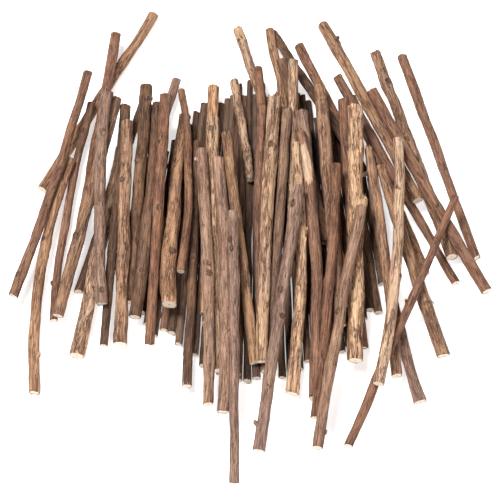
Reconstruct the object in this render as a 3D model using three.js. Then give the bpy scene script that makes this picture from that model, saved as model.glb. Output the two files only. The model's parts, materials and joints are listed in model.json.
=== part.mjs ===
// A loose bundle of cut twigs, spread like a fan and lying on a table. Millimetres, +Z up.
// Twigs run roughly along Y: each has a near end (low y) and a far end (high y), and the fan opens
// towards the near ends. The twigs are laid one after another, and each comes to rest on those below it.
import * as THREE from "three";

// Shape of a twig's solid
const sides = 8; // faces round a twig
const stations = 7; // lengths that a twig is divided into
const waviness = 0.03; // share by which the thickness swells and shrinks along a twig
const waveTurns = 2.5; // swellings along a twig

// How the twigs settle
const airGap = 0.35; // space left between touching twigs
const probes = 61; // steps at which a twig's support is felt, odd so that none is at its middle
const rolls = [0, -1.5, 1.5, -3, 3, -4.5, 4.5, -6, 6]; // sideways moves that a rolling end tries
const rollCost = 0.15; // height that a millimetre of rolling must save
const compass = [[1, 0], [0, 1], [-1, 0], [0, -1]]; // ways in which a twig feels the ground round it
const feelers = [0, 0.4, 0.7, 0.9, 1]; // how far out it feels the ground, as shares of its radius

// The lower layer: the twigs underneath, as one low oval mound with a flat base
const lowerLayer = {
  middle: [3, 20], // x, y
  halfWidth: 74,
  halfDepth: 100,
  // how high it stands at a share of the way out to its edge, from the edge to the middle
  profile: [[1, 0], [0.985, 2.2], [0.93, 4], [0.8, 5.2], [0.55, 5.9], [0.25, 6.2], [0, 6.2]],
  facesRound: 36,
};

function makeBark(name, color, roughness) {
  return new THREE.MeshStandardMaterial({ name, color, roughness, metalness: 0 });
}

const bark = {
  red: makeBark("red_bark", "#8f5f45", 0.82),
  dark: makeBark("dark_bark", "#654b3d", 0.88),
  grey: makeBark("grey_bark", "#8e7465", 0.85),
  tan: makeBark("tan_bark", "#a07a58", 0.8),
  pale: makeBark("pale_bark", "#bd9770", 0.75),
};

// Near end [x, y], far end [x, y], thickness at [near, far], bow to the right of the straight line, bark.
// The order is the order of laying: the first lie lowest.
const twigs = [
  // lowest, on the table at the left
  { near: [-99, -24], far: [-65, 106], thick: [4.8, 4.8], bow: 0, bark: bark.dark },
  { near: [-78, -14], far: [-46, 116], thick: [5.4, 5.2], bow: 0, bark: bark.grey },
  { near: [-123, 42], far: [-61, 166], thick: [6, 6], bow: 0, bark: bark.tan },
  { near: [-98, -64], far: [-77, 66], thick: [8.4, 7], bow: 0, bark: bark.pale },
  { near: [-83, -60], far: [-75, 90], thick: [4.6, 6], bow: 0, bark: bark.dark },
  { near: [-100, 8], far: [-83, 146], thick: [6.2, 5.8], bow: 0, bark: bark.red },
  { near: [-112, -42], far: [-96, 98], thick: [4.5, 4.6], bow: -3, bark: bark.red },
  { near: [-120, -86], far: [-106, 58], thick: [6, 5.8], bow: -7, bark: bark.tan },
  // lowest, at the right
  { near: [64, 48], far: [27, 143], thick: [5.4, 5.7], bow: 0, bark: bark.red },
  { near: [56, 62], far: [11, 152], thick: [5.2, 5.5], bow: 0, bark: bark.dark },
  { near: [96, -13], far: [58, 106], thick: [6, 5.6], bow: 0, bark: bark.tan },
  { near: [126, -3], far: [89, 135], thick: [4.8, 6], bow: 0, bark: bark.red },
  { near: [115, -22], far: [49, 115], thick: [4.6, 5.7], bow: 0, bark: bark.red },
  { near: [111, -5], far: [73, 138], thick: [7.2, 6.2], bow: 0, bark: bark.tan },
  { near: [93, 29], far: [42, 158], thick: [6.4, 6.4], bow: 1, bark: bark.tan },
  { near: [129, -29], far: [69, 102], thick: [6.4, 6.4], bow: -1, bark: bark.red },
  // on the lower layer, deep in the middle
  { near: [17, 54], far: [-10, 154], thick: [6, 5.8], bow: 0, bark: bark.pale },
  { near: [20, 26], far: [8, 151], thick: [5.4, 5.2], bow: 1, bark: bark.tan, rolls: true },
  { near: [12, 2], far: [2, 118], thick: [5.4, 5.3], bow: 0, bark: bark.red },
  { near: [36, 4], far: [11, 125], thick: [6.4, 7], bow: 0, bark: bark.dark, rolls: true },
  { near: [44, -36], far: [37, 104], thick: [6, 6.6], bow: 0, bark: bark.tan, rolls: true },
  { near: [22, -4], far: [23, 119], thick: [5.4, 5.6], bow: 0, bark: bark.pale, rolls: true },
  { near: [-27, -41], far: [-24, 109], thick: [6, 6.4], bow: 0, bark: bark.tan },
  { near: [-37, -84], far: [-34, 71], thick: [5.2, 5.2], bow: 1, bark: bark.dark },
  { near: [-50, -28], far: [-62, 92], thick: [5.6, 6.4], bow: 0, bark: bark.tan },
  // left half, second layer
  { near: [-69, -32], far: [-63, 101], thick: [6, 7], bow: 0, bark: bark.dark },
  { near: [-66, -43], far: [-56, 89], thick: [6.7, 6], bow: 1, bark: bark.dark },
  { near: [-109, -41], far: [-80, 93], thick: [6.6, 6], bow: 0, bark: bark.tan },
  { near: [-134, -31], far: [-98, 113], thick: [5.5, 5], bow: 2, bark: bark.red },
  { near: [-84, -38], far: [-85, 93], thick: [6.4, 6.6], bow: -3, bark: bark.grey },
  { near: [-74, -59], far: [-73, 75], thick: [7.2, 6.8], bow: 0, bark: bark.tan },
  { near: [-58, -58], far: [-51, 90], thick: [5.4, 6.5], bow: 0, bark: bark.red },
  { near: [-47, -39], far: [-41, 90], thick: [8.8, 6.8], bow: -2, bark: bark.tan },
  { near: [-41, -19], far: [-43, 104], thick: [4.6, 4.3], bow: 4.5, bark: bark.red },
  // middle, upper layers
  { near: [-20, -76], far: [-24, 81], thick: [6, 7], bow: 0, bark: bark.pale },
  { near: [-25, -98], far: [-31, 58], thick: [6, 6.9], bow: 2, bark: bark.grey },
  { near: [-17, -102], far: [-21, 52], thick: [6.6, 7], bow: 3, bark: bark.grey },
  { near: [0, -70], far: [-16, 66], thick: [6, 6], bow: 0, bark: bark.tan },
  { near: [-2, 45], far: [-12, 114], thick: [4.6, 5.4], bow: 0, bark: bark.pale },
  { near: [-11, -142], far: [-12, 14], thick: [4.8, 5.8], bow: 0.5, bark: bark.grey },
  { near: [4, -46], far: [5, 88], thick: [5, 5.4], bow: -2, bark: bark.red },
  { near: [6, -75], far: [19, 85], thick: [5, 5.7], bow: 1, bark: bark.grey },
  { near: [4, -72], far: [12, 95], thick: [6.4, 8], bow: -1, bark: bark.pale },
  { near: [41, -42], far: [29, 83], thick: [6, 7], bow: 1, bark: bark.grey, rolls: true },
  { near: [47, -50], far: [39, 89], thick: [6.6, 7.8], bow: 0, bark: bark.tan },
  { near: [32, -92], far: [26, 66], thick: [6.2, 6.4], bow: 5, bark: bark.red },
  { near: [20, -87], far: [23, 57], thick: [7.4, 5], bow: 4, bark: bark.pale },
  { near: [2, -122], far: [25, 28], thick: [6.4, 6.6], bow: 0, bark: bark.grey },
  { near: [32, -105], far: [46, 44], thick: [5, 6], bow: 2, bark: bark.red },
  // right half, upper layers
  { near: [57, -60], far: [53, 91], thick: [7.6, 6.3], bow: 0, bark: bark.red, rolls: true },
  { near: [90, -91], far: [67, 57], thick: [6.2, 6], bow: -4, bark: bark.grey },
  { near: [77, -79], far: [65, 60], thick: [6.2, 5], bow: 2, bark: bark.tan },
  { near: [104, -64], far: [72, 46], thick: [7.5, 6], bow: -1, bark: bark.tan },
  { near: [49, -71], far: [58, 82], thick: [8.2, 8.8], bow: 0, bark: bark.pale, rolls: true },
  { near: [33, -123], far: [61, 23], thick: [5.7, 6.2], bow: -1, bark: bark.grey },
  { near: [49, -122], far: [114, 28], thick: [5.2, 4.2], bow: 0, bark: bark.red },
  { near: [66, -89], far: [82, 62], thick: [6.2, 5.8], bow: 4.5, bark: bark.pale },
];

// Half the thickness of a twig at a share of its length, 0 at the near end.
function radiusAt(twig, share) {
  const straight = THREE.MathUtils.lerp(twig.thick[0], twig.thick[1], share) / 2;
  return straight * (1 + waviness * Math.sin(waveTurns * Math.PI * 2 * share + twig.near[0]));
}

// How far the twig's middle line stands to the right of the straight line between its ends.
function bowAt(twig, share) {
  return twig.bow * 4 * share * (1 - share);
}

// The twig's middle line in plan.
function planPoint(twig, share) {
  const [x0, y0] = twig.near;
  const [x1, y1] = twig.far;
  const length = Math.hypot(x1 - x0, y1 - y0);
  const side = bowAt(twig, share) / length;
  return new THREE.Vector2(
    THREE.MathUtils.lerp(x0, x1, share) + side * (y1 - y0),
    THREE.MathUtils.lerp(y0, y1, share) - side * (x1 - x0),
  );
}

// The lowest height at which a ball over a place clears a twig that is already laid, or 0 if it misses it.
function heightOver(laid, x, y, radius) {
  let height = 0;
  for (let k = 0; k < stations; k += 1) {
    const from = laid.line[k];
    const to = laid.line[k + 1];
    const dx = to.x - from.x;
    const dy = to.y - from.y;
    const along = ((x - from.x) * dx + (y - from.y) * dy) / (dx * dx + dy * dy);
    const share = THREE.MathUtils.clamp(along, 0, 1);
    const sideways = Math.hypot(x - from.x - share * dx, y - from.y - share * dy);
    const clear = radius + THREE.MathUtils.lerp(from.radius, to.radius, share) + airGap;
    if (sideways < clear) {
      const middle = THREE.MathUtils.lerp(from.z, to.z, share);
      height = Math.max(height, middle + Math.sqrt(clear * clear - sideways * sideways));
    }
  }
  return height;
}

// How high the lower layer stands over a place, 0 beyond its edge.
function lowerLayerHeight(x, y) {
  const { middle, halfWidth, halfDepth, profile } = lowerLayer;
  const out = Math.hypot((x - middle[0]) / halfWidth, (y - middle[1]) / halfDepth);
  const k = profile.findIndex(([share]) => share <= out);
  if (k <= 0) return 0;
  const [outer, low] = profile[k - 1];
  const [inner, high] = profile[k];
  return THREE.MathUtils.mapLinear(out, outer, inner, low, high);
}

// The lowest height at which a ball over a place clears the table and the lower layer.
function heightOverGround(x, y, radius) {
  let height = radius;
  for (const reach of feelers) {
    for (const [right, up] of compass) {
      const ground = lowerLayerHeight(x + right * reach * radius, y + up * reach * radius);
      if (ground > 0) height = Math.max(height, ground + radius * Math.sqrt(1 - reach * reach) + airGap);
    }
  }
  return height;
}

// The heights of the ends of a twig that rests on two supports, one on each side of its middle.
function restHeights(twig, laidTwigs) {
  const near = [];
  const far = [];
  for (let k = 0; k <= probes; k += 1) {
    const share = k / probes;
    const { x, y } = planPoint(twig, share);
    const radius = radiusAt(twig, share);
    let height = heightOverGround(x, y, radius);
    for (const laid of laidTwigs) height = Math.max(height, heightOver(laid, x, y, radius));
    (share < 0.5 ? near : far).push({ share, height });
  }
  let best = { middle: -1 };
  for (const a of near) {
    for (const b of far) {
      const rise = (b.height - a.height) / (b.share - a.share);
      const middle = a.height + rise * (0.5 - a.share);
      if (middle > best.middle) best = { middle, rise };
    }
  }
  return { middle: best.middle, near: best.middle - best.rise / 2, far: best.middle + best.rise / 2 };
}

// Lays a twig where it was dropped. A twig that rolls tries each end a little to either side as well,
// and keeps the lowest bed it finds.
function layTwig(twig, laidTwigs) {
  const moves = twig.rolls ? rolls : [0];
  let best = { cost: Infinity };
  for (const nearRoll of moves) {
    for (const farRoll of moves) {
      const near = [twig.near[0] + nearRoll, twig.near[1]];
      const far = [twig.far[0] + farRoll, twig.far[1]];
      const rolled = { ...twig, near, far };
      const ends = restHeights(rolled, laidTwigs);
      const cost = ends.middle + rollCost * (Math.abs(nearRoll) + Math.abs(farRoll));
      if (cost < best.cost) best = { ...rolled, ends, cost };
    }
  }
  const line = [];
  for (let k = 0; k <= stations; k += 1) {
    const share = k / stations;
    const { x, y } = planPoint(best, share);
    const z = THREE.MathUtils.lerp(best.ends.near, best.ends.far, share);
    line.push({ x, y, z, radius: radiusAt(best, share) });
  }
  return { ...best, line };
}

// The lower layer's solid: a turned dome, stretched to its oval.
function makeLowerLayer() {
  const { middle, halfWidth, halfDepth, profile, facesRound } = lowerLayer;
  const outline = [[0, 0], ...profile].map(([share, height]) => new THREE.Vector2(share, height));
  const geometry = new THREE.LatheGeometry(outline, facesRound);
  geometry.rotateX(Math.PI / 2);
  geometry.scale(halfWidth, halfDepth, 1);
  geometry.translate(middle[0], middle[1], 0);
  const mound = new THREE.Mesh(geometry, bark.dark);
  mound.name = "lower_twigs";
  return mound;
}

// A twig's solid: a cylinder from the near end to the far end, tapered, waved and bowed.
function makeTwig(twig, name) {
  const near = new THREE.Vector3(...twig.near, twig.ends.near);
  const far = new THREE.Vector3(...twig.far, twig.ends.far);
  const length = near.distanceTo(far);
  const geometry = new THREE.CylinderGeometry(1, 1, length, sides, stations);
  const points = geometry.getAttribute("position");
  for (let i = 0; i < points.count; i += 1) {
    const share = points.getY(i) / length + 0.5;
    const radius = radiusAt(twig, share);
    points.setX(i, points.getX(i) * radius + bowAt(twig, share));
    points.setZ(i, points.getZ(i) * radius);
  }
  const mesh = new THREE.Mesh(geometry, twig.bark);
  mesh.name = name;
  // local Y runs from near to far, local X lies level to its right
  const along = far.clone().sub(near).normalize();
  const right = new THREE.Vector3().crossVectors(along, new THREE.Vector3(0, 0, 1)).normalize();
  const over = new THREE.Vector3().crossVectors(right, along);
  mesh.quaternion.setFromRotationMatrix(new THREE.Matrix4().makeBasis(right, along, over));
  mesh.position.copy(near).add(far).multiplyScalar(0.5);
  return mesh;
}

const bundle = new THREE.Group();
bundle.add(makeLowerLayer());

const laidTwigs = [];
for (const twig of twigs) {
  laidTwigs.push(layTwig(twig, laidTwigs));
}
laidTwigs.forEach((twig, index) => {
  bundle.add(makeTwig(twig, `twig_${String(index + 1).padStart(2, "0")}`));
});

// The origin is on the table, under the middle of the bundle.
const box = new THREE.Box3().setFromObject(bundle, true);
const middle = box.getCenter(new THREE.Vector3());
bundle.position.set(-middle.x, -middle.y, -box.min.z);

export default bundle;
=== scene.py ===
import json
import math
import random

import bpy
import numpy as np
from mathutils import Matrix, Vector


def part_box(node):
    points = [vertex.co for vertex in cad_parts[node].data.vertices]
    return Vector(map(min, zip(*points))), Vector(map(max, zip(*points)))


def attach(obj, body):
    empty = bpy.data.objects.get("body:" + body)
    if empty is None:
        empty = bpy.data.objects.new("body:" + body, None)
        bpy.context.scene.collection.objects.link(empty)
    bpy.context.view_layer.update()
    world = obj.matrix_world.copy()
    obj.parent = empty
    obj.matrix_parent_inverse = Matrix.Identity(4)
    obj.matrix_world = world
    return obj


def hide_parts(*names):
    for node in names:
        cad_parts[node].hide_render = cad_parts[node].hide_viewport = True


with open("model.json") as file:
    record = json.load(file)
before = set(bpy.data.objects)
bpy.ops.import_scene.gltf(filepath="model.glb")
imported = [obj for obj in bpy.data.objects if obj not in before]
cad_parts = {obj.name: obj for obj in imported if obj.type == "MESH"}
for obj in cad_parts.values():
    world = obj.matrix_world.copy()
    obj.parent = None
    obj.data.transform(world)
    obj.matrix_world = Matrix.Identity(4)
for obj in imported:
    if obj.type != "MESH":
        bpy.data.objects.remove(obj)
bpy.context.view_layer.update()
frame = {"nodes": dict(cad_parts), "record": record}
mm = 0.001


def useOnly(ob):
    bpy.ops.object.select_all(action="DESELECT")
    ob.select_set(True)
    bpy.context.view_layer.objects.active = ob


# leaves ob in edit mode with only the elements that pass the test selected
def pick(ob, kind, test):
    bpy.ops.object.mode_set(mode="EDIT")
    bpy.ops.mesh.select_mode(type=kind)
    bpy.ops.mesh.select_all(action="DESELECT")
    bpy.ops.object.mode_set(mode="OBJECT")
    elements = {"EDGE": ob.data.edges, "FACE": ob.data.polygons}[kind]
    for element in elements:
        element.select = test(element)
    bpy.ops.object.mode_set(mode="EDIT")


def applyAll(ob):
    useOnly(ob)
    for modifier in list(ob.modifiers):
        bpy.ops.object.modifier_apply(modifier=modifier.name)


# camera: over the near ends, looking down at the bundle
cameraSet = {
    "target": (-1.0 * mm, -12.5 * mm, 10.0 * mm),
    "distance": 1.0,
    "elevation": 62, # degrees above the table
    "lens": 128.5, "sensor": 36,
    "nearest": 0.05, "farthest": 20,
}


def makeCamera():
    data = bpy.data.cameras.new("camera")
    data.lens = cameraSet["lens"]
    data.sensor_width = cameraSet["sensor"]
    data.clip_start = cameraSet["nearest"]
    data.clip_end = cameraSet["farthest"]
    camera = bpy.data.objects.new("camera", data)
    bpy.context.scene.collection.objects.link(camera)
    up = math.radians(cameraSet["elevation"])
    away = Vector((0, -math.cos(up), math.sin(up))) * cameraSet["distance"]
    camera.location = Vector(cameraSet["target"]) + away
    camera.rotation_euler = (math.pi / 2 - up, 0, 0)
    bpy.context.scene.camera = camera


# studio: white table, white surroundings and one big soft light
studio = {
    "tableSize": 6.0,
    "tableColor": (0.95, 0.95, 0.95),
    "tableGlow": 0.6,
    "skyStrength": 0.08,
    "lightSize": 0.5,
    "lightPower": 19.2,
    "lightPlace": (-0.38, 0.12, 1.15),
    "fillPower": 5.5,
    "fillPlace": (0.35, -0.8, 0.8),
}


def makeStudio():
    bpy.ops.object.select_all(action="DESELECT")
    bpy.ops.mesh.primitive_plane_add(size=studio["tableSize"], location=(0, 0, 0))
    table = bpy.context.object
    table.name = "table"
    material = bpy.data.materials.new("white_table")
    material.use_nodes = True
    shader = material.node_tree.nodes["Principled BSDF"]
    shader.inputs["Base Color"].default_value = (*studio["tableColor"], 1)
    shader.inputs["Roughness"].default_value = 0.9
    shader.inputs["Emission Color"].default_value = (1, 1, 1, 1)
    shader.inputs["Emission Strength"].default_value = studio["tableGlow"]
    table.data.materials.append(material)

    for name, power, place in (
        ("main_light", studio["lightPower"], studio["lightPlace"]),
        ("fill_light", studio["fillPower"], studio["fillPlace"]),
    ):
        light = bpy.data.lights.new(name, "AREA")
        light.shape = "DISK"
        light.size = studio["lightSize"]
        light.energy = power
        lamp = bpy.data.objects.new(name, light)
        lamp.location = place
        lamp.rotation_euler = (-Vector(place)).to_track_quat("-Z", "Y").to_euler()
        bpy.context.scene.collection.objects.link(lamp)

    world = bpy.data.worlds.new("studio")
    world.use_nodes = True
    sky = world.node_tree.nodes["Background"]
    sky.inputs["Color"].default_value = (1, 1, 1, 1)
    sky.inputs["Strength"].default_value = studio["skyStrength"]
    bpy.context.scene.world = world
    bpy.context.scene.view_settings.view_transform = "Standard"


# shader maths: a wire is a socket that takes plus, minus, times and divide
class Wire:
    def __init__(self, bench, socket):
        self.bench = bench
        self.socket = socket

    def maths(self, operation, *values):
        return self.bench.add("ShaderNodeMath", {"operation": operation}, *values)

    def __add__(self, other):
        return self.maths("ADD", self, other)

    def __sub__(self, other):
        return self.maths("SUBTRACT", self, other)

    def __mul__(self, other):
        return self.maths("MULTIPLY", self, other)

    def __rsub__(self, other):
        return self.maths("SUBTRACT", other, self)

    def __abs__(self):
        return self.maths("ABSOLUTE", self)

    __radd__ = __add__
    __rmul__ = __mul__


# a bench holds one material's nodes
class Bench:
    def __init__(self, name):
        self.material = bpy.data.materials.new(name)
        self.material.use_nodes = True
        self.tree = self.material.node_tree
        self.shader = self.tree.nodes["Principled BSDF"]

    def plug(self, socket, value):
        if isinstance(value, Wire):
            self.tree.links.new(value.socket, socket)
        else:
            socket.default_value = value

    # values go to the inputs in order, or by name; returns the wanted output
    def add(self, kind, settings, *values, out=0, **named):
        node = self.tree.nodes.new(kind)
        for key, value in settings.items():
            setattr(node, key, value)
        for index, value in enumerate(values):
            self.plug(node.inputs[index], value)
        for key, value in named.items():
            self.plug(node.inputs[key.replace("_", " ")], value)
        return Wire(self, node.outputs[out])

    def attribute(self, name, out="Fac"):
        return self.add("ShaderNodeAttribute", {"attribute_name": name}, out=out)

    def stretch(self, vector, *scale):
        return self.add("ShaderNodeVectorMath", {"operation": "MULTIPLY"}, vector, scale)

    def noise(self, vector, scale, detail=2.0, roughness=0.5, distortion=0.0, out="Fac"):
        return self.add("ShaderNodeTexNoise", {}, Vector=vector, Scale=scale, Detail=detail,
                        Roughness=roughness, Distortion=distortion, out=out)

    # 0 below low, 1 above high
    def ramp(self, value, low, high):
        settings = {"interpolation_type": "SMOOTHSTEP"}
        return self.add("ShaderNodeMapRange", settings, value, low, high, 0.0, 1.0)

    def blend(self, amount, first, second, how="MIX"):
        node = self.tree.nodes.new("ShaderNodeMix")
        node.data_type = "RGBA"
        node.blend_type = how
        for index, value in ((0, amount), (6, first), (7, second)):
            self.plug(node.inputs[index], value)
        return Wire(self, node.outputs[2])

    # darkens or lightens a color by a number
    def shade(self, color, value):
        grey = self.add("ShaderNodeCombineColor", {}, value, value, value)
        return self.blend(1.0, color, grey, "MULTIPLY")

    def finish(self, color, roughness, height, strength, distance):
        bump = self.add("ShaderNodeBump", {}, Height=height, Strength=strength, Distance=distance)
        self.plug(self.shader.inputs["Base Color"], color)
        self.plug(self.shader.inputs["Roughness"], roughness)
        self.plug(self.shader.inputs["Normal"], bump)
        return self.material


def tint(red, green, blue):
    def linear(value):
        value /= 255
        return value / 12.92 if value <= 0.04045 else ((value + 0.055) / 1.055) ** 2.4
    return (linear(red), linear(green), linear(blue), 1)


# what the barks are like: hollows, body, raised streaks, the layer under flakes, and how much shows
barks = {
    "red_bark": {
        "deep": tint(60, 37, 28), "body": tint(128, 86, 65), "streak": tint(190, 146, 116),
        "under": tint(156, 98, 64), "streaks": 0.5, "weathered": 0.3, "flaky": 0.5, "rough": 0.8,
    },
    "dark_bark": {
        "deep": tint(40, 28, 22), "body": tint(98, 70, 52), "streak": tint(150, 114, 87),
        "under": tint(126, 80, 52), "streaks": 0.45, "weathered": 0.25, "flaky": 0.45, "rough": 0.85,
    },
    "grey_bark": {
        "deep": tint(72, 51, 43), "body": tint(140, 109, 93), "streak": tint(196, 164, 142),
        "under": tint(160, 110, 80), "streaks": 0.55, "weathered": 0.45, "flaky": 0.4, "rough": 0.85,
    },
    "tan_bark": {
        "deep": tint(74, 48, 35), "body": tint(138, 101, 76), "streak": tint(202, 166, 134),
        "under": tint(168, 108, 68), "streaks": 0.55, "weathered": 0.25, "flaky": 0.7, "rough": 0.8,
    },
    "pale_bark": {
        "deep": tint(92, 60, 43), "body": tint(150, 112, 85), "streak": tint(222, 192, 160),
        "under": tint(178, 122, 78), "streaks": 0.85, "weathered": 0.15, "flaky": 1.0, "rough": 0.76,
    },
}

woodLook = {
    "fresh": tint(240, 214, 184), "fibre": tint(196, 158, 122), "ring": tint(222, 192, 160),
    "edge": tint(182, 142, 108), "pith": tint(150, 112, 84), "sawn": tint(244, 226, 206),
    "knotDark": tint(44, 30, 24), "knotRim": tint(172, 134, 104), "crack": tint(24, 16, 13),
    "weather": tint(158, 136, 117),
}


# the bark's patterns: "drawn" is how far each is drawn out along the twig, less is longer, and the rest are
# how fine each one is, in repeats a metre
barkGrain = {
    "drawnLong": 0.07, "drawnBroad": 0.22, "drawnSpeck": 0.5, "drawnPlate": 0.11, "drawnDrift": 0.6,
    "streak": 850, "fibre": 2400, "patch": 120, "flake": 560, "speck": 2600, "split": 480,
    "plate": 400, "drift": 42, "bump": 0.7 * mm,
    "cool": (0.99, 0.95, 0.965, 1), "warm": (1.07, 0.97, 0.86, 1),
}


def barkMaterial(name, look):
    bench = Bench(name)
    place = bench.attribute("straight", "Vector")
    toneAndShade = bench.attribute("toneAndShade")
    warmth = bench.attribute("warmth")
    peel = bench.attribute("peel")
    knot = bench.attribute("knot")

    def pattern(kind, drawn, **settings):
        return bench.noise(bench.stretch(place, 1, 1, barkGrain[drawn]), barkGrain[kind], **settings)

    streak = pattern("streak", "drawnLong", detail=5, roughness=0.66, distortion=0.35)
    fibre = pattern("fibre", "drawnLong", detail=3, roughness=0.62)
    patch = pattern("patch", "drawnBroad", detail=3, roughness=0.6)
    flake = pattern("flake", "drawnBroad", detail=5, roughness=0.7, distortion=0.5)
    speck = pattern("speck", "drawnSpeck", detail=2, roughness=0.6)
    split = pattern("split", "drawnLong", detail=3, roughness=0.6, distortion=0.8)
    plate = pattern("plate", "drawnPlate", detail=4, roughness=0.55, distortion=0.4)
    drift = pattern("drift", "drawnDrift", detail=2)

    flaky = look["flaky"]
    hollow = bench.ramp(1 - streak, 0.46, 0.62)
    color = bench.blend(hollow * (0.5 + 0.45 * flaky), look["body"], look["deep"])
    bared = bench.ramp(flake + (patch - 0.5) * 0.9, 0.52, 0.62)
    color = bench.blend(bared * (0.35 + 0.35 * flaky), color, look["under"])
    grey = bench.ramp(patch + (flake - 0.5) * 0.4, 0.46, 0.64)
    color = bench.blend(grey * look["weathered"], color, woodLook["weather"])
    edge = 0.59 - 0.1 * look["streaks"]
    high = bench.ramp(streak * 0.7 + flake * 0.3 + (patch - 0.5) * 0.3, edge, edge + 0.08)
    color = bench.blend(high * (0.45 + 0.4 * flaky), color, look["streak"])
    color = bench.blend(bench.ramp(fibre, 0.5, 0.62) * (0.42 + 0.25 * flaky), color, look["streak"])
    color = bench.blend(bench.ramp(1 - fibre, 0.52, 0.62) * (0.4 + 0.25 * flaky), color, look["deep"])
    color = bench.blend(bench.ramp(speck, 0.54, 0.66) * 0.35, color, look["deep"])
    color = bench.blend(bench.ramp(1 - speck, 0.54, 0.66) * 0.25, color, look["streak"])

    # plates of paler outer bark with dark torn edges
    level = plate + (drift - 0.5) * 0.5
    color = bench.blend(bench.ramp(level, 0.5, 0.53) * (0.62 * flaky - 0.1), color, look["streak"])
    torn = 1 - bench.ramp(abs(level - 0.5), 0.006, 0.03)
    color = bench.blend(torn * (0.75 * flaky - 0.1), color, look["deep"])

    # thin dark splits along the twig
    crack = 1 - bench.ramp(abs(split - 0.5), 0.004, 0.026)
    crack = crack * bench.ramp(flake, 0.44, 0.56)
    color = bench.blend(crack * (0.5 + 0.35 * flaky), color, woodLook["crack"])

    # where the bark is off, pale wood shows with ragged edges
    bare = bench.ramp(peel + (streak - 0.5) * 1.5 + (flake - 0.5) * 0.9, 0.5, 0.58)
    wood = bench.blend(bench.ramp(fibre, 0.4, 0.62) * 0.8, woodLook["fresh"], woodLook["fibre"])
    wood = bench.blend(bench.ramp(patch, 0.48, 0.6) * 0.5, wood, look["under"])
    color = bench.blend(bare * 0.88, color, wood)

    # knots: a dark scar of no even shape, with a paler broken rim
    scar = knot + (flake - 0.5) * 1.5 + (speck - 0.5) * 0.8
    rim = bench.ramp(knot + (streak - 0.5) * 1.6, 0.3, 0.55)
    color = bench.blend(rim * 0.4, color, woodLook["knotRim"])
    heart = bench.ramp(knot + (fibre - 0.5) * 0.6, 0.8, 0.96)
    broken = bench.ramp(streak, 0.38, 0.52) * 0.5 + 0.5
    dark = bench.ramp(scar, 0.46, 0.76) * (1 - heart * 0.4) * broken
    color = bench.blend(dark * 0.88, color, woodLook["knotDark"])

    # each twig's own colour, cooler and warmer by turns along it, then darkened or lightened by the twig's
    # brightness number; the lower row's low numbers are painted shade beneath the upper twigs
    turn = bench.ramp(warmth + (drift - 0.5) * 2.4, 0.0, 1.0)
    color = bench.blend(1.0, color, bench.blend(turn, barkGrain["cool"], barkGrain["warm"]), "MULTIPLY")
    color = bench.shade(color, toneAndShade)
    roughness = look["rough"] - 0.12 * bare + (fibre - 0.5) * 0.2
    height = streak * 0.8 + flake * 0.6 + fibre * 0.45 + speck * 0.2 - crack * 0.8 - bare * 0.25
    return bench.finish(color, roughness, height - dark * 0.5, 0.9, barkGrain["bump"])


# the sawn ends: growth rings round a pith, a browner edge, fine saw marks
cutGrain = {
    "rings": 9500, "wobble": 500, "grain": 2600, "saw": 2200, "drawnSaw": 0.12, "bump": 0.25 * mm,
    "edge": (2.6 * mm, 3.5 * mm), "pith": (0.4 * mm, 0.7 * mm), # from the middle of the end
}


def cutMaterial():
    bench = Bench("cut_wood")
    place = bench.attribute("straight", "Vector")
    toneAndShade = bench.attribute("toneAndShade")
    flat = bench.stretch(place, 1, 1, 0)
    across = bench.add("ShaderNodeVectorMath", {"operation": "LENGTH"}, flat, out="Value")
    wobble = bench.noise(place, cutGrain["wobble"], detail=2)
    rings = bench.add("ShaderNodeMath", {"operation": "SINE"}, across * cutGrain["rings"] + wobble * 6)
    grain = bench.noise(place, cutGrain["grain"], detail=2)
    saw = bench.noise(bench.stretch(place, 1, cutGrain["drawnSaw"], 1), cutGrain["saw"], detail=1)

    color = bench.blend(bench.ramp(rings, 0.0, 1.0) * 0.4, woodLook["sawn"], woodLook["ring"])
    color = bench.blend(bench.ramp(grain, 0.5, 0.75) * 0.3, color, woodLook["fibre"])
    outer = bench.ramp(across + wobble * (0.6 * mm), *cutGrain["edge"])
    color = bench.blend(outer * 0.5, color, woodLook["edge"])
    inner = bench.ramp(across + wobble * (0.4 * mm), *cutGrain["pith"])
    color = bench.blend(0.7 - inner * 0.7, color, woodLook["pith"])
    # a little of the twig's brightness number on its sawn end too, which on the lower row is painted shade
    color = bench.blend(0.3, color, bench.shade(color, toneAndShade))
    height = saw * 0.6 + grain * 0.4 + rings * 0.1
    return bench.finish(color, 0.72 + grain * 0.12, height, 0.5, cutGrain["bump"])


# the blank: one straight stick that every twig is copied from
blank = {
    "radius": 3.0 * mm, "length": 145 * mm,
    "sides": 36, "rings": 120,
    "barkThickness": 0.34 * mm, "rimRound": 0.16 * mm,
    "woodSteps": (0.6 * mm, 0.7 * mm, 0.7 * mm),
    "smoothAngle": 38, "innerRelief": 0.45,
}


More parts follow.
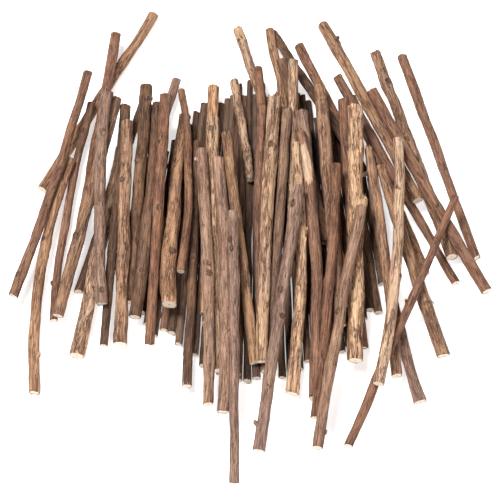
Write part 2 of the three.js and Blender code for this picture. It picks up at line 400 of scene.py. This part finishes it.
def makeBlank():
    bpy.ops.object.select_all(action="DESELECT")
    bpy.ops.mesh.primitive_cylinder_add(
        vertices=blank["sides"], radius=blank["radius"], depth=blank["length"],
        end_fill_type="NGON", location=(0, 0, blank["length"] / 2))
    ob = bpy.context.object
    ob.name = "blank"
    bpy.ops.object.transform_apply(location=True, rotation=True, scale=True)
    points = ob.data.vertices

    # rings up its side, then the sawn ends inset to the wood and once more to the pith
    pick(ob, "EDGE", lambda e: abs(points[e.vertices[0]].co.z - points[e.vertices[1]].co.z) > 1 * mm)
    bpy.ops.mesh.subdivide(number_cuts=blank["rings"] - 1)
    pick(ob, "FACE", lambda f: abs(f.normal.z) > 0.9)
    bpy.ops.mesh.inset(thickness=blank["barkThickness"], use_boundary=True)
    for step in blank["woodSteps"]:
        bpy.ops.mesh.inset(thickness=step, use_boundary=True)
    bpy.ops.object.mode_set(mode="OBJECT")

    # round the rims
    points = ob.data.vertices
    edgeRadius = blank["radius"] - 0.05 * mm

    def isRim(edge):
        a, b = (points[v].co for v in edge.vertices)
        atEnd = min(a.z, blank["length"] - a.z) < 0.01 * mm and abs(a.z - b.z) < 0.01 * mm
        return atEnd and min(a.xy.length, b.xy.length) > edgeRadius

    pick(ob, "EDGE", isRim)
    bpy.ops.mesh.bevel(offset=blank["rimRound"], segments=2, affect="EDGES")
    bpy.ops.object.mode_set(mode="OBJECT")
    return ob


# the sides fill the map from the left, and the two sawn ends sit on its right edge with the shreds between
mapPlan = {
    "sideLeft": 0.01, "sideWide": 0.85, "sideLow": 0.01, "sideTall": 0.98,
    "endMiddle": 0.93, "endReach": 0.058, "nearEnd": 0.25, "farEnd": 0.75,
    "shredLeft": 0.88, "shredWide": 0.1, "shredLow": 0.33, "shredTall": 0.3, "shredSpan": 0.34,
}


def layOutMap(ob):
    layout = ob.data.uv_layers.new(name="OFBake") if not ob.data.uv_layers else ob.data.uv_layers[0]
    layout.name = "OFBake"
    points = ob.data.vertices
    for face in ob.data.polygons:
        onEnd = abs(face.normal.z) > 0.7
        faceAngle = math.atan2(face.center.y, face.center.x)
        for loop in face.loop_indices:
            co = points[ob.data.loops[loop].vertex_index].co
            if onEnd:
                low = mapPlan["nearEnd"] if face.normal.z < 0 else mapPlan["farEnd"]
                place = (mapPlan["endMiddle"] + co.x / blank["radius"] * mapPlan["endReach"],
                         low + co.y / blank["radius"] * mapPlan["endReach"])
            else:
                angle = math.atan2(co.y, co.x)
                angle += 2 * math.pi * round((faceAngle - angle) / (2 * math.pi))
                place = (mapPlan["sideLeft"] + mapPlan["sideWide"] * (angle / (2 * math.pi) + 0.5),
                         mapPlan["sideLow"] + mapPlan["sideTall"] * co.z / blank["length"])
            layout.data[loop].uv = place


def finishBlank(ob):
    woodRadius = blank["radius"] - blank["barkThickness"] + 0.02 * mm
    for face in ob.data.polygons:
        reach = max(ob.data.vertices[v].co.xy.length for v in face.vertices)
        face.material_index = 1 if abs(face.normal.z) > 0.9 and reach < woodRadius else 0
    layOutMap(ob)
    useOnly(ob)
    bpy.ops.object.shade_smooth_by_angle(angle=math.radians(blank["smoothAngle"]))
    bark = ob.vertex_groups.new(name="bark")
    for vertex in ob.data.vertices:
        reach = vertex.co.xy.length
        if reach > blank["radius"] - 0.2 * mm:
            bark.add([vertex.index], 1.0, "REPLACE")
        elif reach > woodRadius - 0.1 * mm:
            bark.add([vertex.index], blank["innerRelief"], "REPLACE")


# bumps under the bark: broad lumps, ridges along the twig and small flakes
relief = {
    "lumps": {"kind": "CLOUDS", "across": 6.5 * mm, "along": 26 * mm, "height": 0.8 * mm},
    "ridges": {"kind": "CLOUDS", "across": 1.5 * mm, "along": 12 * mm, "height": 0.7 * mm},
    "flakes": {"kind": "VORONOI", "across": 1.1 * mm, "along": 5 * mm, "height": 0.3 * mm},
    "fibres": {"kind": "CLOUDS", "across": 1.0 * mm, "along": 20 * mm, "height": 0},
}


def makeRelief():
    for name, cut in relief.items():
        texture = bpy.data.textures.new(name, cut["kind"])
        texture.noise_scale = 1.0
        if cut["kind"] == "CLOUDS":
            texture.noise_depth = 1
        spot = bpy.data.objects.new(f"{name}_spot", None)
        spot.scale = (cut["across"], cut["across"], cut["along"])
        bpy.context.scene.collection.objects.link(spot)
        cut["texture"], cut["spot"] = texture, spot


def addRelief(ob, chance, strength):
    for name, cut in relief.items():
        cut["spot"].location = [chance.uniform(-1, 1) * 50 * mm for _ in range(3)]
        if not cut["height"]:
            continue
        displace = ob.modifiers.new(name, "DISPLACE")
        displace.texture = cut["texture"]
        displace.texture_coords = "OBJECT"
        displace.texture_coords_object = cut["spot"]
        displace.vertex_group = "bark"
        displace.mid_level = 0.5
        displace.strength = cut["height"] * strength


# how strongly a spot on the bark at a share of the length and an angle reaches each vertex, 0 to 1
def spotWeights(points, share, angle, wide, long):
    away = np.arctan2(points[:, 1], points[:, 0]) - math.radians(angle)
    away = (away + math.pi) % (2 * math.pi) - math.pi
    around = away * blank["radius"] / wide
    along = (points[:, 2] - share * blank["length"]) / long
    return np.exp(-(around ** 2 + along ** 2))


def store(ob, name, values, kind="FLOAT"):
    layer = ob.data.attributes.new(name, kind, "POINT")
    field = "vector" if kind == "FLOAT_VECTOR" else "value"
    layer.data.foreach_set(field, np.ravel(values).astype(np.float32))


# knots, as multiples of their size: a scar, a hollow in it and a collar round the twig, raised by so much.
# the last millimetres at both ends are worn
marks = {
    "scarTall": 1.45, "hollowWide": 0.4, "hollowTall": 0.6, "collarLong": 2.2,
    "scarRise": 1.1, "collarRise": 0.25, "hollowDepth": 0.8, "lift": 0.95 * mm,
    "worn": 0.22, "wornLong": 1.3 * mm, "bareStrength": 1.6, "apart": 0.17,
}


# marks the knots, bare patches, warmth and brightness on a copy of the blank; the lower row's low
# brightness is painted shade
def markTwig(ob, look, chance, number):
    points = np.empty(len(ob.data.vertices) * 3, np.float32)
    ob.data.vertices.foreach_get("co", points)
    points = points.reshape(-1, 3)
    count = len(points)

    knot = np.zeros(count)
    swell = np.zeros(count)
    for share, angle, size in look["knots"]:
        scar = spotWeights(points, share, angle, size * mm, size * marks["scarTall"] * mm)
        hollow = spotWeights(points, share, angle, size * marks["hollowWide"] * mm,
                             size * marks["hollowTall"] * mm)
        fromKnot = points[:, 2] - share * blank["length"]
        collar = np.exp(-(fromKnot / (marks["collarLong"] * size * mm)) ** 2)
        knot = np.maximum(knot, scar)
        swell = np.maximum(swell, scar * marks["scarRise"] + collar * marks["collarRise"]
                           - hollow * marks["hollowDepth"])
    toEnd = np.minimum(points[:, 2], blank["length"] - points[:, 2])
    peel = np.full(count, look["peel"]) + marks["worn"] * np.exp(-toEnd / marks["wornLong"])
    for share, angle, wide, long, amount in look["bare"]:
        spot = spotWeights(points, share, angle, wide * mm, long * mm)
        peel += amount * np.clip(marks["bareStrength"] * spot, 0, 1)

    store(ob, "knot", knot)
    store(ob, "peel", peel)
    # each twig's brightness number: random on the upper twigs, low on the lower row as painted shade
    store(ob, "toneAndShade", np.full(count, look["toneAndShade"]))
    store(ob, "warmth", np.full(count, look["warmth"]))
    # each twig reads another stretch of the patterns
    store(ob, "straight", points + np.array([0, 0, number * marks["apart"]]), "FLOAT_VECTOR")

    group = ob.vertex_groups.new(name="knots")
    for index in np.flatnonzero(swell > 0.02):
        group.add([int(index)], float(min(1, swell[index])), "REPLACE")
    lift = ob.modifiers.new("knots", "DISPLACE")
    lift.mid_level = 0.0
    lift.strength = marks["lift"]
    lift.vertex_group = "knots"


# tilts a sawn end a few degrees, as cutters leave it
def tiltEnd(ob, atFar, degrees, turn):
    facing = 1 if atFar else -1
    middle = (0, 0, blank["length"] if atFar else 0)
    pick(ob, "FACE", lambda f: f.normal.z * facing > 0.85 and abs(f.center.z - middle[2]) < 1 * mm)
    bpy.ops.transform.rotate(value=math.radians(degrees), orient_axis="X" if turn else "Y",
                             orient_type="GLOBAL", center_override=middle)
    bpy.ops.object.mode_set(mode="OBJECT")


# a far end that was torn off rather than sawn: its fibres stand up unevenly
fray = {"depth": 1.6 * mm, "strength": 3 * mm, "level": 0.45}


def frayEnd(ob, reach):
    group = ob.vertex_groups.new(name="frayed")
    for vertex in ob.data.vertices:
        depth = (blank["length"] - vertex.co.z) / fray["depth"]
        if depth < 1:
            group.add([vertex.index], 1 - max(depth, 0.0), "REPLACE")
    tear = ob.modifiers.new("tear", "DISPLACE")
    tear.texture = relief["fibres"]["texture"]
    tear.texture_coords = "OBJECT"
    tear.texture_coords_object = relief["fibres"]["spot"]
    tear.direction = "Z"
    tear.vertex_group = "frayed"
    tear.mid_level = fray["level"]
    tear.strength = reach * fray["strength"]


# the snag of a side shoot: a few bark faces drawn out in two steps, leaning to the far end, and cut off
stubShape = {"lean": 0.55, "steps": ((0.45, 0.72), (0.55, 0.88)), "rim": 0.12 * mm}


def drawStub(ob, share, angle, reach, width):
    angle = math.radians(angle)
    out = Vector((math.cos(angle), math.sin(angle), 0.0))
    lean = (out + Vector((0, 0, stubShape["lean"]))).normalized()
    foot = out * blank["radius"] + Vector((0, 0, share * blank["length"]))

    def atFoot(face):
        away = face.center - foot
        along = away.z
        away.z = 0
        return away.length < width * mm and abs(along) < width * 1.1 * mm

    pick(ob, "FACE", atFoot)
    top = foot
    for further, narrower in stubShape["steps"]:
        step = lean * reach * further * mm
        top = top + step
        bpy.ops.mesh.extrude_region_move(TRANSFORM_OT_translate={"value": step})
        bpy.ops.transform.resize(value=(narrower, narrower, narrower), center_override=top)
    bpy.ops.mesh.inset(thickness=stubShape["rim"])
    ob.active_material_index = 1
    bpy.ops.object.material_slot_assign()
    bpy.ops.object.mode_set(mode="OBJECT")


# strips of loose bark: a flat tapering sliver, one unit long, whose tip curls away
shred = {
    "sides": 6, "steps": 6, "curl": 5.0, "taper": 0.8, "smoothAngle": 50,
    "length": (4 * mm, 15 * mm), "width": (0.3 * mm, 0.7 * mm), "thick": 0.18 * mm,
    "sunk": 0.1 * mm, "lift": (-1.0, 4.0), "shares": (0.06, 0.9), "clearOfStub": 0.08,
}


def makeShred():
    bpy.ops.object.select_all(action="DESELECT")
    bpy.ops.mesh.primitive_circle_add(
        vertices=shred["sides"], radius=0.5, fill_type="NGON", location=(0, 0, 0))
    ob = bpy.context.object
    ob.name = "shred"
    bpy.ops.object.mode_set(mode="EDIT")
    bpy.ops.mesh.select_all(action="SELECT")
    steps = shred["steps"]
    for step in range(1, steps + 1):
        out = shred["curl"] * (step / steps) ** 2
        before = shred["curl"] * ((step - 1) / steps) ** 2
        bpy.ops.mesh.extrude_region_move(TRANSFORM_OT_translate={"value": (out - before, 0, 1 / steps)})
        tip = (out, 0, step / steps)
        bpy.ops.transform.resize(value=(shred["taper"], shred["taper"], 1), center_override=tip)
    bpy.ops.mesh.select_all(action="SELECT")
    bpy.ops.mesh.normals_make_consistent(inside=False)
    bpy.ops.object.mode_set(mode="OBJECT")
    ob.data.uv_layers[0].name = "OFBake"
    useOnly(ob)
    bpy.ops.object.shade_smooth_by_angle(angle=math.radians(shred["smoothAngle"]))
    return ob


# lays shreds along a straight twig and joins them to it, clear of the stubs
def addShreds(ob, look, chance):
    strips = []
    for index in range(look["shreds"]):
        share = chance.uniform(*shred["shares"])
        if any(abs(share - stub[0]) < shred["clearOfStub"] for stub in look["stubs"]):
            continue
        strip = bpy.data.objects.new("strip", shredBlank.data.copy())
        strip.data.materials.append(ob.data.materials[0])
        bpy.context.scene.collection.objects.link(strip)
        size = (shred["thick"], chance.uniform(*shred["width"]), chance.uniform(*shred["length"]))
        turned = Matrix.Rotation(math.pi * chance.choice([0, 1]), 4, "X")
        tilt = Matrix.Rotation(math.radians(chance.uniform(*shred["lift"])), 4, "Y")
        out = Matrix.Translation((blank["radius"] - shred["sunk"], 0, 0))
        around = Matrix.Rotation(chance.uniform(0, 2 * math.pi), 4, "Z")
        place = Matrix.Translation((0, 0, share * blank["length"]))
        strip.data.transform(place @ around @ out @ turned @ tilt @ Matrix.Diagonal((*size, 1)))
        low = mapPlan["shredLow"] + mapPlan["shredSpan"] * index / look["shreds"]
        left, wide = mapPlan["shredLeft"], mapPlan["shredWide"]
        tall = mapPlan["shredTall"] / look["shreds"]
        for corner in strip.data.uv_layers[0].data:
            corner.uv = (left + wide * corner.uv.x, low + tall * corner.uv.y)
        strips.append(strip)
    if strips:
        useOnly(ob)
        for strip in strips:
            strip.select_set(True)
        bpy.ops.object.join()


# bends the finished straight stick along its line, with a little wander, less up and down and at the ends
bendSet = {"upWander": 0.5, "endWander": 0.35, "flare": 0.4, "smoothness": 8}


def bendTwig(ob, middles, radii, look, chance):
    data = bpy.data.curves.new("line", "CURVE")
    data.dimensions = "3D"
    data.use_radius = data.use_stretch = data.use_deform_bounds = True
    data.twist_mode = "Z_UP"
    data.resolution_u = bendSet["smoothness"]
    spline = data.splines.new("BEZIER")
    spline.bezier_points.add(len(middles) - 1)
    last = len(middles) - 1
    for index, point in enumerate(spline.bezier_points):
        inside = 1.0 if 0 < index < last else bendSet["endWander"]
        up = bendSet["upWander"]
        wander = Vector((chance.uniform(-1, 1), 0, chance.uniform(-up, up)))
        point.co = middles[index] + wander * look["wander"] * inside * mm
        point.handle_left_type = point.handle_right_type = "AUTO"
        flare = look["flare"] * bendSet["flare"] if index == 0 else 0
        point.radius = radii[index] / blank["radius"] * (1 + flare)
        point.tilt = math.radians(look["twist"] * (index / last - 0.5))
    line = bpy.data.objects.new("line", data)
    bpy.context.scene.collection.objects.link(line)
    bend = ob.modifiers.new("bend", "CURVE")
    bend.object = line
    bend.deform_axis = "POS_Z"
    useOnly(ob)
    bpy.ops.object.modifier_apply(modifier="bend")
    bpy.data.objects.remove(line)
    bpy.data.curves.remove(data)


def mean(points):
    return sum(points, Vector()) / len(points)


# the middle line and radii of a laid stick, read from the rings of points of its solid
solidShape = {"sides": 8, "steps": 7}


def solidLine(name):
    node = frame["nodes"][name]
    points = {tuple(round(c, 6) for c in node.matrix_world @ v.co) for v in node.data.vertices}
    points = sorted((Vector(p) for p in points), key=lambda p: p.y)
    sides, steps = solidShape["sides"], solidShape["steps"]
    near, far = mean(points[:sides]), mean(points[-sides:])
    for _ in range(3):
        axis = far - near
        rings = {}
        for point in points:
            share = (point - near).dot(axis) / axis.length_squared
            rings.setdefault(round(share * steps), []).append(point)
        near, far = mean(rings[min(rings)]), mean(rings[max(rings)])
    middles = [mean(rings[k]) for k in sorted(rings)]
    radii = [max((p - middle).length for p in rings[k]) for k, middle in zip(sorted(rings), middles)]
    return middles, radii


# what a twig gets by chance where its look doesn't say
byChance = {"toneAndShade": (0.86, 1.14), "warmth": (0.1, 0.9), "twist": (-40, 40), "wander": (0.2, 0.6)}
knotChance = {"counts": [0, 1, 1, 2], "share": (0.08, 0.92), "angle": (0, 360), "size": (0.8, 1.5)}
endTilt = (-14, 14)

# angles on a twig: 90 is up, 0 and 180 are its sides
plainLook = {"knots": [], "bare": [], "stubs": [], "peel": 0.1, "flare": 0.0, "relief": 1.0,
             "frayed": 0, "shreds": 5}


# what is special about single sticks: knots as (share, angle, size), stubs as (share, angle, reach, width),
# bare patches as (share, angle, width, length, amount), sizes in millimetres, shares from the near end
upperLooks = {
    1: {"toneAndShade": 0.8},
    2: {"toneAndShade": 0.95},
    3: {"toneAndShade": 1.05, "peel": 0.16},
    4: {"toneAndShade": 1.0, "peel": 0.2, "knots": [(0.3, 120, 1.6)]},
    5: {"toneAndShade": 0.8},
    6: {"toneAndShade": 1.0, "knots": [(0.67, 40, 2.0), (0.34, 150, 1.4)]},
    7: {"toneAndShade": 0.9, "knots": [(0.86, 70, 1.9)], "stubs": [(0.16, 20, 1.6, 1.1)]},
    8: {"toneAndShade": 1.1, "knots": [(0.63, 60, 1.9), (0.88, 120, 1.3)], "stubs": [(0.15, 165, 1.4, 1.2)]},
    9: {"toneAndShade": 0.95}, 10: {"toneAndShade": 0.95}, 11: {"toneAndShade": 0.9, "warmth": 0.8},
    12: {"toneAndShade": 0.9}, 13: {"toneAndShade": 0.85},
    14: {"toneAndShade": 0.95, "relief": 1.5, "knots": [(0.84, 100, 2.1), (0.55, 60, 1.7), (0.3, 110, 1.5)]},
    15: {"toneAndShade": 0.95, "knots": [(0.88, 130, 2.0)], "stubs": [(0.9, 150, 1.6, 1.3)]},
    16: {"toneAndShade": 0.95, "relief": 0.7, "knots": [(0.4, 80, 1.3)]},
    17: {"toneAndShade": 0.95, "knots": [(0.9, 60, 1.5)]},
    18: {"toneAndShade": 1.0, "knots": [(0.86, 80, 1.6)]},
    19: {"toneAndShade": 0.9}, 20: {"toneAndShade": 1.0}, 21: {"toneAndShade": 1.05, "relief": 0.6, "peel": 0.05},
    22: {"toneAndShade": 1.0, "peel": 0.05},
    23: {"toneAndShade": 1.35, "warmth": 1.0, "peel": 0.0, "bare": [(0.0, 90, 20, 20, 0.42)]},
    24: {"toneAndShade": 0.9, "knots": [(0.5, 90, 1.8)], "bare": [(0.0, 90, 20, 18, 0.25)]},
    25: {"toneAndShade": 0.92},
    26: {"toneAndShade": 1.0, "knots": [(0.65, 90, 2.0), (0.93, 140, 1.6)], "stubs": [(0.93, 160, 1.2, 1.2)]},
    27: {"toneAndShade": 1.05, "knots": [(0.2, 90, 1.7)]},
    28: {"toneAndShade": 0.92, "knots": [(0.35, 60, 1.6)]},
    29: {"toneAndShade": 0.9, "knots": [(0.08, 80, 1.9), (0.55, 110, 1.3)]},
    30: {"toneAndShade": 0.94, "knots": [(0.8, 100, 2.0), (0.05, 90, 2.2), (0.45, 60, 1.3)]},
    31: {"toneAndShade": 1.05, "relief": 1.2, "knots": [(0.72, 70, 1.8)]},
    32: {"toneAndShade": 0.95, "knots": [(0.53, 100, 2.0), (0.8, 60, 1.4)]},
    33: {"toneAndShade": 0.98, "knots": [(0.25, 115, 2.2)], "bare": [(0.02, 90, 20, 7, 0.25)]},
    34: {"toneAndShade": 0.88, "knots": [(0.5, 130, 1.7), (0.42, 140, 1.3)]},
    35: {"toneAndShade": 0.95, "peel": 0.3, "knots": [(0.95, 60, 2.0)]},
    36: {"toneAndShade": 1.0, "knots": [(0.53, 80, 2.0), (0.49, 105, 1.8)],
         "stubs": [(0.95, 30, 1.3, 1.2), (0.3, 20, 1.2, 1.1)]},
    37: {"toneAndShade": 1.1, "peel": 0.05, "relief": 0.8, "knots": [(0.3, 140, 1.2)]},
    38: {"toneAndShade": 0.9},
    39: {"toneAndShade": 0.92, "peel": 0.2},
    40: {"toneAndShade": 1.0, "knots": [(0.885, 60, 1.9), (0.85, 75, 1.7)], "stubs": [(0.38, 170, 1.2, 1.0)]},
    41: {"toneAndShade": 0.9}, 42: {"toneAndShade": 0.88},
    43: {"toneAndShade": 1.0, "peel": 0.28, "relief": 1.2, "knots": [(0.8, 80, 2.0)], "frayed": 2.2},
    44: {"toneAndShade": 0.92},
    45: {"toneAndShade": 1.0, "relief": 0.5, "peel": 0.05, "knots": [(0.4, 160, 1.5)]},
    46: {"toneAndShade": 0.95, "knots": [(0.14, 110, 1.8)], "bare": [(0.87, 90, 2.7, 9, 1.3)]},
    47: {"toneAndShade": 1.05, "peel": 0.3, "knots": [(0.62, 150, 1.7)], "stubs": [(0.64, 165, 1.4, 1.2)]},
    48: {"toneAndShade": 1.0, "knots": [(0.59, 70, 2.1), (0.49, 120, 1.8), (0.92, 60, 2.0)],
         "stubs": [(0.09, 30, 2.6, 1.2)], "warmth": 0.0},
    49: {"toneAndShade": 0.86}, 50: {"toneAndShade": 0.88}, 51: {"toneAndShade": 0.86, "flare": 0.35},
    52: {"toneAndShade": 1.0, "frayed": 2.5, "bare": [(0.99, 90, 20, 5, -0.4)]},
    53: {"toneAndShade": 0.92, "knots": [(0.26, 90, 2.0)]},
    54: {"toneAndShade": 1.1, "peel": 0.3, "relief": 1.4, "knots": [(0.35, 70, 1.8)]},
    55: {"toneAndShade": 1.05, "knots": [(0.53, 60, 2.0), (0.32, 120, 1.5)], "frayed": 3.0,
         "bare": [(1.0, 90, 20, 3.2, 1.1)], "stubs": [(0.06, 160, 1.2, 1.0)], "warmth": 0.8},
    56: {"toneAndShade": 0.95, "knots": [(0.8, 90, 1.2)], "stubs": [(0.55, 40, 2.4, 0.9)]},
    57: {"toneAndShade": 1.15, "peel": 0.12, "relief": 0.6, "bare": [(0.8, 150, 4, 60, 0.3)]},
}


def growTwig(name, number, middles, radii, look, slotName, nodeName):
    chance = random.Random(number * 7 + 3)
    look = {**plainLook, **look}
    for key, span in byChance.items():
        look.setdefault(key, chance.uniform(*span))
    if not look["knots"]:
        look["knots"] = [tuple(chance.uniform(*knotChance[key]) for key in ("share", "angle", "size"))
                         for _ in range(chance.choice(knotChance["counts"]))]
    ob = bpy.data.objects.new(name, blankTwig.data.copy())
    bpy.context.scene.collection.objects.link(ob)
    for group in blankTwig.vertex_groups:
        ob.vertex_groups.new(name=group.name)
    ob.data.materials.append(barkMaterials[slotName])
    ob.data.materials.append(cutWood)
    addShreds(ob, look, chance)
    markTwig(ob, look, chance, number)
    addRelief(ob, chance, look["relief"])
    if look["frayed"]:
        frayEnd(ob, look["frayed"])
    applyAll(ob)
    for atFar in (False, True):
        tiltEnd(ob, atFar, chance.uniform(*endTilt), chance.random() < 0.5)
    for share, angle, reach, width in look["stubs"]:
        drawStub(ob, share, angle, reach, width)
    bendTwig(ob, middles, radii, look, chance)
    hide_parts(nodeName)
    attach(ob, "root")
    return ob


makeCamera()
makeStudio()
barkMaterials = {name: barkMaterial(name, look) for name, look in barks.items()}
cutWood = cutMaterial()
blankTwig = makeBlank()
finishBlank(blankTwig)
makeRelief()
shredBlank = makeShred()
print("blank twig and materials ready")

slots = {part["node"]: part["material_slot"] for part in frame["record"]["subparts"]}
for number, look in upperLooks.items():
    nodeName = f"twig_{number:02d}"
    middles, radii = solidLine(nodeName)
    growTwig(f"upper_{nodeName}", number, middles, radii, look, slots[nodeName], nodeName)
print("upper twigs grown")

# the lower layer: sticks side by side in lanes inside the outline of its solid
lowerRow = {
    "seed": 41, "firstNumber": 61, "lanes": 34, "reach": 0.92, "openDegrees": 8, "strayDegrees": 0.25,
    "thick": (4.4 * mm, 4.9 * mm), "taper": 0.2, "wander": 0.15, "gap": 0.3 * mm,
    # painted shade: low brightness numbers darken the lower row where the upper twigs shade it
    "toneAndShade": (0.35, 0.65),
    "nearShortened": (0, 12 * mm), "farShortened": (2 * mm, 14 * mm), "steps": 7, "uneven": (0.97, 1.0),
    "barks": ["dark_bark", "tan_bark", "red_bark", "dark_bark", "grey_bark", "tan_bark"],
}


def growLowerRow():
    low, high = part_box("lower_twigs")
    chance = random.Random(lowerRow["seed"])
    middle = (Vector(low) + Vector(high)) / 2
    halfWidth, halfDepth = (high[0] - low[0]) / 2, (high[1] - low[1]) / 2
    for lane in range(lowerRow["lanes"]):
        share = lowerRow["reach"] * (2 * lane / (lowerRow["lanes"] - 1) - 1)
        half = halfDepth * math.sqrt(1 - share * share)
        yaw = math.radians(lowerRow["openDegrees"] * share
                           + chance.uniform(-1, 1) * lowerRow["strayDegrees"])
        along = Vector((math.sin(yaw), -math.cos(yaw), 0))
        nearEnd = half - chance.uniform(*lowerRow["nearShortened"])
        farEnd = -half + chance.uniform(*lowerRow["farShortened"])
        radius = chance.uniform(*lowerRow["thick"]) / 2
        place = Vector((middle.x + share * halfWidth, middle.y, radius + lowerRow["gap"]))
        steps = lowerRow["steps"]
        middles = [place + along * (nearEnd + (farEnd - nearEnd) * k / steps) for k in range(steps + 1)]
        radii = [radius * (1 - lowerRow["taper"] * k / steps) * chance.uniform(*lowerRow["uneven"])
                 for k in range(steps + 1)]
        # painted shade: each lower twig gets a low brightness number
        look = {"toneAndShade": chance.uniform(*lowerRow["toneAndShade"]), "wander": lowerRow["wander"], "shreds": 0}
        growTwig(f"lower_twig_{lane + 1:02d}", lowerRow["firstNumber"] + lane, middles, radii, look,
                 chance.choice(lowerRow["barks"]), "lower_twigs")


growLowerRow()
print("lower twigs grown")

bpy.data.objects.remove(blankTwig)
bpy.data.objects.remove(shredBlank)
for cut in relief.values():
    bpy.data.objects.remove(cut["spot"])
